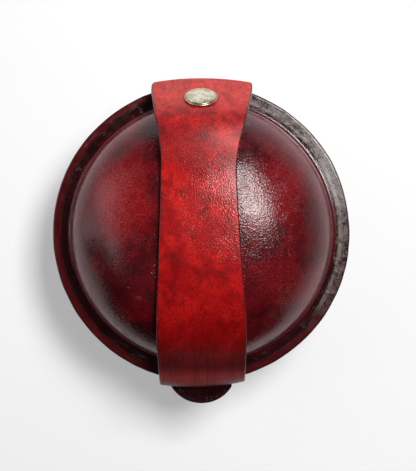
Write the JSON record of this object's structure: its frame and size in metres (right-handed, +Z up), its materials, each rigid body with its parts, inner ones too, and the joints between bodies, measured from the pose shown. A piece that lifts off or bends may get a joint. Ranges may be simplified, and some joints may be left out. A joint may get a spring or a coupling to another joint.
{
  "type": "collar box",
  "caption": "Round leather clamshell box for shirt collars, two flanged domes with a front leather hinge and a strap that closes with a press snap.",
  "frame": {"origin": "on the box's centre line, on the flat underside of the strap that it stands on", "axes": "+Z up, +Y towards the press snap at the rear, the hinge tabs point to -Y, X runs along the hinge"},
  "size_m": [0.14, 0.1532, 0.0814],
  "materials": {
    "shell_leather": "antiqued oxblood leather, waxed, darker flange edges",
    "strap_leather": "mottled red bridle leather with dark burnished edges",
    "lining_suede": "tan suede",
    "snap_metal": "pale satin nickel-brass"
  },
  "bodies": {
    "base": {"lower_shell": "shell_leather", "lower_lining": "lining_suede", "strap_under": "strap_leather", "strap_fold": "strap_leather"},
    "lid": {"upper_shell": "shell_leather", "upper_lining": "lining_suede"},
    "tabs": {"upper_tab": "shell_leather", "lower_tab": "shell_leather"},
    "inner_end": {"strap_inner_end": "strap_leather", "snap_stud": "snap_metal", "snap_post": "snap_metal"},
    "strap": {"strap_over": "strap_leather"},
    "outer_end": {"strap_outer_end": "strap_leather", "snap_cap": "snap_metal", "snap_socket": "snap_metal"}
  },
  "joints": [
    {"name": "lid_hinge", "type": "hinge", "parent": "base", "child": "lid", "pos_m": [0, -0.0715, 0.0407], "axis": [1, 0, 0], "range_deg": [0, 110], "deforming": ["strap_fold"]},
    {"name": "tab_flex", "type": "hinge", "parent": "base", "child": "tabs", "pos_m": [0, -0.0715, 0.0407], "axis": [1, 0, 0], "range_deg": [0, 55]},
    {"name": "inner_end_flex", "type": "hinge", "parent": "base", "child": "inner_end", "pos_m": [0, 0.0727, 0.041], "axis": [1, 0, 0], "range_deg": [-33, 0], "deforming": ["strap_inner_end", "snap_stud", "snap_post"]},
    {"name": "strap_swing", "type": "hinge", "parent": "lid", "child": "strap", "pos_m": [0, -0.0688, 0.0485], "axis": [1, 0, 0], "range_deg": [0, 70]},
    {"name": "snap_lift", "type": "hinge", "parent": "strap", "child": "outer_end", "pos_m": [0, 0.045, 0.0792], "axis": [1, 0, 0], "range_deg": [0, 60]}
  ],
  "couplings": [
    {"joint": "tab_flex", "follows": "lid_hinge", "ratio": 0.5},
    {"joint": "inner_end_flex", "follows": "lid_hinge", "ratio": -0.3}
  ]
}
